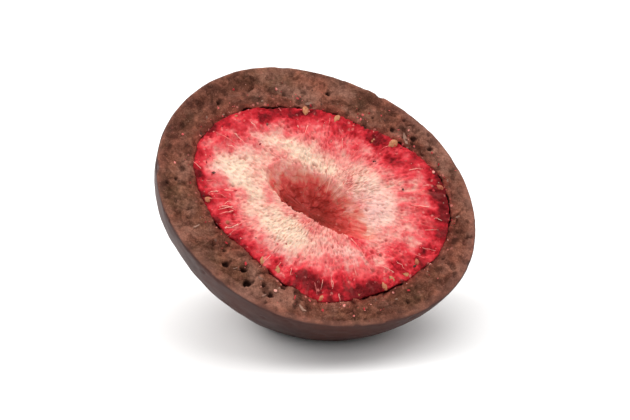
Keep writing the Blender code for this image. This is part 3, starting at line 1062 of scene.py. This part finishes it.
def makeFleckGroup():
    # scattered small flecks: a cell is a fleck if its own random number is under Amount
    tree, given, shown = newGroup("scatteredFlecks", (("Scale", "NodeSocketFloat", 2200), ("Amount", "NodeSocketFloat", 0.12),
                                                      ("Size", "NodeSocketFloat", 0.35)), (("Mask", "NodeSocketFloat"),))
    spot = put(tree, "ShaderNodeTexCoord").outputs["Object"]
    bent = put(tree, "ShaderNodeTexNoise", {"Vector": spot, "Scale": given["Scale"], "Detail": 2}).outputs["Color"]
    nudge = put(tree, "ShaderNodeVectorMath", {0: bent, 3: 0.00025}, operation="SCALE").outputs[0]
    place = put(tree, "ShaderNodeVectorMath", {0: spot, 1: nudge}, operation="ADD").outputs[0]
    cells = put(tree, "ShaderNodeTexVoronoi", {"Vector": place, "Scale": given["Scale"]})
    apart = put(tree, "ShaderNodeSeparateColor", {0: cells.outputs["Color"]}).outputs[0]
    chosen = maths(tree, "LESS_THAN", apart, given["Amount"])
    inside = ranged(tree, cells.outputs["Distance"], given["Size"], maths(tree, "MULTIPLY", given["Size"], 0.6), 0, 1)
    tree.links.new(maths(tree, "MULTIPLY", chosen, inside), shown["Mask"])
    return tree


grainGroup = makeGrainGroup()
mottleGroup = makeMottleGroup()
fleckGroup = makeFleckGroup()


def newMaterial(name):
    material = bpy.data.materials.new(name)
    material.use_nodes = True
    tree = material.node_tree
    return material, tree, tree.nodes["Principled BSDF"]


chocolateLook = {
    "light": (0.052, 0.0140, 0.0095, 1),
    "dark": (0.030, 0.0080, 0.0058, 1),
    "scuff": (0.075, 0.036, 0.030),
    "cutLight": (0.325, 0.112, 0.071, 1),
    "cutDark": (0.094, 0.029, 0.019, 1),
    "shade": (0.020, 0.0062, 0.0040),
    "pale": (0.33, 0.160, 0.115),
    "olive": (0.110, 0.068, 0.033),
    "red": (0.27, 0.050, 0.035),
    "rim": (0.26, 0.120, 0.095),
    "dust": (0.55, 0.17, 0.14),
    # near-black painted shade for the holes in the cut ring
    "holeShade": (0.016, 0.005, 0.004),
}


def chocolateMaterial():
    look = chocolateLook
    material, tree, shader = newMaterial("darkChocolate")
    cut = held(tree, "cutShare")
    outside = useGroup(tree, mottleGroup, Scale=210, Light=look["light"], Dark=look["dark"], Contrast=0.14)
    touched = maths(tree, "MULTIPLY", held(tree, "rubbed"), useGroup(tree, mottleGroup, Scale=1400, Contrast=0.16)["Mask"])
    bloom = useGroup(tree, mottleGroup, Scale=950, Contrast=0.10)["Mask"]
    bloomed = mixed(tree, maths(tree, "MULTIPLY", bloom, 0.16), outside["Color"], look["scuff"])
    worn = mixed(tree, maths(tree, "MULTIPLY", touched, 0.35), bloomed, look["scuff"])

    inside = useGroup(tree, mottleGroup, Scale=520, Light=look["cutLight"], Dark=look["cutDark"], Contrast=0.09)["Color"]
    drift = useGroup(tree, mottleGroup, Scale=170, Contrast=0.12)["Mask"]
    greener = mixed(tree, maths(tree, "MULTIPLY", drift, 0.5), inside, look["olive"])
    reddened = mixed(tree, ranged(tree, held(tree, "seamNear"), 0.02, 0.8, 0, 0.85), greener, look["red"])
    paled = mixed(tree, ranged(tree, held(tree, "tone"), 0.05, 0.65, 0, 0.75), reddened, look["pale"])
    shaded = mixed(tree, ranged(tree, held(tree, "tone"), -0.05, -0.65, 0, 0.75), paled, look["shade"])
    stroked = mixed(tree, ranged(tree, held(tree, "stroke"), 0.4, 0.9, 0, 0.35), shaded, look["pale"])
    # painted shade: darker where the crumble relief sinks
    crumbleShaded = mixed(tree, ranged(tree, held(tree, "crumble"), 0.12, 0.60, 0, 0.6), stroked, look["shade"])
    grain = useGroup(tree, grainGroup, Scale=3600, Coarse=0.35)
    speckle = useGroup(tree, grainGroup, Scale=7500, Coarse=0.3)
    # painted shade in the hollows of the grain that also makes the cut's bump; the finer speckle after it is the
    # chocolate's own colour
    speckledAndGrainShaded = mixed(tree, maths(tree, "MULTIPLY", grain["Mask"], 0.45), crumbleShaded, look["cutDark"][:3])
    speckledAndGrainShaded = mixed(tree, maths(tree, "MULTIPLY", speckle["Mask"], 0.40), speckledAndGrainShaded, look["shade"])
    speckledAndGrainShaded = mixed(tree, ranged(tree, speckle["Height"], 0.54, 0.70, 0, 0.5), speckledAndGrainShaded, look["pale"])
    # painted highlight along the rounded rim, partly the rim's own paler chocolate
    rimPaleAndHighlighted = mixed(tree, maths(tree, "MULTIPLY", held(tree, "rimNear"), 0.42), speckledAndGrainShaded, look["rim"])
    layered = mixed(tree, maths(tree, "MULTIPLY", held(tree, "layerLine"), 0.16), rimPaleAndHighlighted, look["rim"])
    dust = useGroup(tree, fleckGroup, Scale=2600, Amount=0.14, Size=0.42)["Mask"]
    strewn = ranged(tree, held(tree, "seamNear"), 0.1, 0.9, 0.10, 1.0)
    dusted = mixed(tree, maths(tree, "MULTIPLY", dust, strewn), layered, look["dust"])
    # painted shade: the holes in the cut ring are coloured near black, darker with their depth
    holesShaded = mixed(tree, ranged(tree, held(tree, "cavity"), 0.1, 0.75, 0, 0.92), dusted, look["holeShade"])

    colour = mixed(tree, cut, worn, holesShaded)
    tree.links.new(colour, shader.inputs["Base Color"])
    polish = useGroup(tree, mottleGroup, Scale=420, Contrast=0.2)["Mask"]
    satin = ranged(tree, polish, 0, 1, 0.42, 0.56)
    satin = maths(tree, "ADD", satin, maths(tree, "MULTIPLY", touched, 0.16))
    matte = ranged(tree, grain["Height"], 0.3, 0.7, 0.6, 0.85)
    rough = put(tree, "ShaderNodeMix", {0: cut, 2: satin, 3: matte}).outputs[0]
    tree.links.new(rough, shader.inputs["Roughness"])
    skinGrain = useGroup(tree, grainGroup, Scale=1500, Coarse=0.6)["Height"]
    height = put(tree, "ShaderNodeMix", {0: cut, 2: maths(tree, "MULTIPLY", skinGrain, 0.045), 3: grain["Height"]}).outputs[0]
    bump = put(tree, "ShaderNodeBump", {"Strength": 0.85, "Distance": 0.00018, "Height": height})
    tree.links.new(bump.outputs["Normal"], shader.inputs["Normal"])
    coat = ranged(tree, cut, 0, 1, 0.5, 0)
    coat = maths(tree, "MULTIPLY", coat, ranged(tree, polish, 0, 1, 1, 0.6))
    coat = maths(tree, "MULTIPLY", coat, ranged(tree, touched, 0, 1, 1, 0.45))
    slant = put(tree, "ShaderNodeLayerWeight", {"Blend": 0.5}).outputs["Facing"]
    coat = maths(tree, "MULTIPLY", coat, ranged(tree, slant, 0.4, 0.95, 1, 0.12))
    tree.links.new(coat, shader.inputs["Coat Weight"])
    shader.inputs["Coat Roughness"].default_value = 0.26
    shader.inputs["Coat IOR"].default_value = 1.42
    shader.inputs["Specular IOR Level"].default_value = 0.04
    return material


fleshLook = {
    "stops": (
        (0.00, (0.76, 0.555, 0.425)), (0.15, (0.75, 0.43, 0.34)), (0.30, (0.72, 0.260, 0.225)), (0.45, (0.67, 0.120, 0.122)),
        (0.60, (0.60, 0.042, 0.054)), (0.76, (0.43, 0.010, 0.019)), (0.90, (0.24, 0.004, 0.009)), (1.00, (0.12, 0.002, 0.004)),
    ),
    # cream, tan, red and near black-red: the tan and the dark end are painted shade of the deep hollow, the red is the
    # fruit's own
    "hollowShadeStops": (
        (0.0, (0.74, 0.42, 0.31)), (0.22, (0.66, 0.22, 0.16)), (0.42, (0.66, 0.090, 0.080)), (0.7, (0.43, 0.038, 0.028)),
        (1.0, (0.20, 0.017, 0.009)),
    ),
    "blush": (0.76, 0.44, 0.42),
    "fibre": (0.72, 0.27, 0.23),
    # dark red painted into the pores and the sunken middles of the cells as shade
    "pore": (0.30, 0.035, 0.03),
}


def fleshMaterial():
    look = fleshLook
    material, tree, shader = newMaterial("driedFlesh")
    grain = useGroup(tree, grainGroup, Scale=3000, Coarse=0.4)
    wobble = ranged(tree, grain["Height"], 0.3, 0.7, -0.12, 0.12)
    ripe = maths(tree, "ADD", held(tree, "ripe"), wobble, clamp=True)
    zones = ramp(tree, ripe, look["stops"])
    pale = ranged(tree, ripe, 0.12, 0.42, 1, 0)
    blushed = mixed(tree, maths(tree, "MULTIPLY", maths(tree, "MULTIPLY", held(tree, "blush"), 0.7), pale), zones, look["blush"])
    # painted shade: the deep hollow and its side under the near lip are coloured darker from the hollow attribute
    deep = ramp(tree, maths(tree, "ADD", held(tree, "hollow"), wobble, clamp=True), look["hollowShadeStops"])
    hollowShaded = mixed(tree, ranged(tree, held(tree, "hollow"), 0.08, 0.25, 0, 0.95), blushed, deep)
    strands = ranged(tree, held(tree, "fibre"), 0.2, 0.8, 0, 0.42)
    strands = maths(tree, "MULTIPLY", strands, ranged(tree, ripe, 0.7, 0.95, 1, 0.25))
    broken = maths(tree, "MULTIPLY", strands, ranged(tree, grain["Height"], 0.42, 0.58, 0.1, 1))
    fibred = mixed(tree, broken, hollowShaded, look["fibre"])
    flecks = useGroup(tree, fleckGroup, Scale=2400, Amount=0.13, Size=0.4)["Mask"]
    flecked = mixed(tree, maths(tree, "MULTIPLY", flecks, 0.4), fibred, look["fibre"])
    # painted shade: the sunken middles of the cells and the pores are coloured dark red
    cells = ranged(tree, held(tree, "walls"), 0.0, 0.7, 0.17, 0.0)
    cellsShaded = mixed(tree, cells, flecked, look["pore"])
    poresShaded = mixed(tree, ranged(tree, held(tree, "pore"), 0.1, 0.9, 0, 0.45), cellsShaded, look["pore"])
    tree.links.new(poresShaded, shader.inputs["Base Color"])
    tree.links.new(ranged(tree, grain["Height"], 0.3, 0.7, 0.62, 0.9), shader.inputs["Roughness"])
    bump = put(tree, "ShaderNodeBump", {"Strength": 0.6, "Distance": 0.00014, "Height": grain["Height"]})
    tree.links.new(bump.outputs["Normal"], shader.inputs["Normal"])
    shader.inputs["Specular IOR Level"].default_value = 0.14
    shader.inputs["Subsurface Weight"].default_value = 0.2
    shader.inputs["Subsurface Radius"].default_value = (1.0, 0.35, 0.22)
    shader.inputs["Subsurface Scale"].default_value = 0.0006
    return material


bitLook = {
    "seed": ((0.0, (0.50, 0.28, 0.12)), (0.5, (0.46, 0.20, 0.085)), (1.0, (0.36, 0.09, 0.045))),
    "seedDark": (0.26, 0.05, 0.03),
    "fibre": ((0.0, (0.80, 0.50, 0.39)), (0.6, (0.78, 0.30, 0.25)), (1.0, (0.66, 0.12, 0.11))),
    "chocolate": ((0.0, (0.035, 0.011, 0.007)), (0.6, (0.09, 0.030, 0.020)), (1.0, (0.30, 0.165, 0.12))),
    "berry": ((0.0, (0.70, 0.36, 0.29)), (0.2, (0.62, 0.12, 0.11)), (0.7, (0.42, 0.022, 0.028)), (1.0, (0.14, 0.008, 0.01))),
}


def bitMaterial(name, stops, rough, dark=None):
    # seeds, strands and crumbs: each bit has its own tint, broken up by the shared grain
    material, tree, shader = newMaterial(name)
    grain = useGroup(tree, grainGroup, Scale=4200, Coarse=0.4)
    wobble = ranged(tree, grain["Height"], 0.3, 0.7, -0.18, 0.18)
    tinted = ramp(tree, maths(tree, "ADD", held(tree, "tint"), wobble, clamp=True), stops)
    if dark:
        patches = useGroup(tree, mottleGroup, Scale=2600, Contrast=0.12)["Mask"]
        tinted = mixed(tree, maths(tree, "MULTIPLY", patches, 0.6), tinted, dark)
    tree.links.new(tinted, shader.inputs["Base Color"])
    tree.links.new(ranged(tree, grain["Height"], 0.3, 0.7, rough, rough + 0.25), shader.inputs["Roughness"])
    bump = put(tree, "ShaderNodeBump", {"Strength": 0.5, "Distance": 0.00006, "Height": grain["Height"]})
    tree.links.new(bump.outputs["Normal"], shader.inputs["Normal"])
    shader.inputs["Specular IOR Level"].default_value = 0.25
    return material


achenes.data.materials.append(bitMaterial("seedCoat", bitLook["seed"], 0.38, bitLook["seedDark"]))
fruitFibres.data.materials.append(bitMaterial("tornFibre", bitLook["fibre"], 0.6))
chocolateCrumbs.data.materials.append(bitMaterial("chocolateCrumb", bitLook["chocolate"], 0.5))
berryCrumbs.data.materials.append(bitMaterial("fruitCrumb", bitLook["berry"], 0.65))
coatingShell.data.materials.append(chocolateMaterial())
berryFlesh.data.materials.append(fleshMaterial())
print("materials made")


# the camera and studio, and the closing lines

def addCamera():
    low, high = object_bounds()
    middle = (low + high) / 2
    lean = math.radians(23.3)
    back = Vector((0, -math.cos(lean), math.sin(lean)))
    camera = bpy.data.objects.new("camera", bpy.data.cameras.new("camera"))
    camera.data.sensor_width = 36
    camera.data.lens = 36 * 0.9 / 0.060
    camera.location = middle + back * 0.9
    camera.rotation_euler = (-back).to_track_quat("-Z", "Y").to_euler()
    camera.data.clip_end = 5
    bpy.context.scene.collection.objects.link(camera)
    bpy.context.scene.camera = camera


def addSoftbox(name, place, size, power, colour, towards):
    light = bpy.data.lights.new(name, "AREA")
    light.shape = "RECTANGLE"
    light.size, light.size_y = size
    light.energy = power
    light.color = colour
    lamp = bpy.data.objects.new(name, light)
    lamp.location = place
    lamp.rotation_euler = (towards - Vector(place)).to_track_quat("-Z", "Y").to_euler()
    lamp.visible_camera = False
    bpy.context.scene.collection.objects.link(lamp)


def addStudio():
    mesh = bpy.data.meshes.new("floor")
    half = 1.5
    mesh.from_pydata([(-half, -half, 0), (half, -half, 0), (half, half, 0), (-half, half, 0)], [], [(0, 1, 2, 3)])
    floor = bpy.data.objects.new("floor", mesh)
    bpy.context.scene.collection.objects.link(floor)
    paint = bpy.data.materials.new("paleFloor")
    paint.use_nodes = True
    paint.node_tree.nodes["Principled BSDF"].inputs["Base Color"].default_value = (0.88, 0.88, 0.88, 1)
    paint.node_tree.nodes["Principled BSDF"].inputs["Roughness"].default_value = 0.7
    mesh.materials.append(paint)
    floor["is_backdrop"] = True
    target = Vector((0, 0, 0.01))
    addSoftbox("overhead", (0.05, 0.10, 0.60), (0.85, 0.70), 3.8, (1, 0.985, 0.97), target)
    addSoftbox("leftBox", (-0.45, 0.10, 0.36), (0.30, 0.36), 2.25, (1, 0.97, 0.95), target)
    addSoftbox("rightBox", (0.5, 0.2, 0.30), (0.32, 0.40), 1.2, (1, 0.98, 0.97), target)
    addSoftbox("frontFill", (-0.1, -0.55, 0.42), (0.5, 0.3), 1.28, (1, 1, 1), target)
    world = bpy.data.worlds.new("studio")
    world.use_nodes = True
    world.node_tree.nodes["Background"].inputs["Color"].default_value = (1, 1, 1, 1)
    world.node_tree.nodes["Background"].inputs["Strength"].default_value = 0.49
    bpy.context.scene.world = world
    bpy.context.scene.view_settings.view_transform = "Standard"


addStudio()
addCamera()
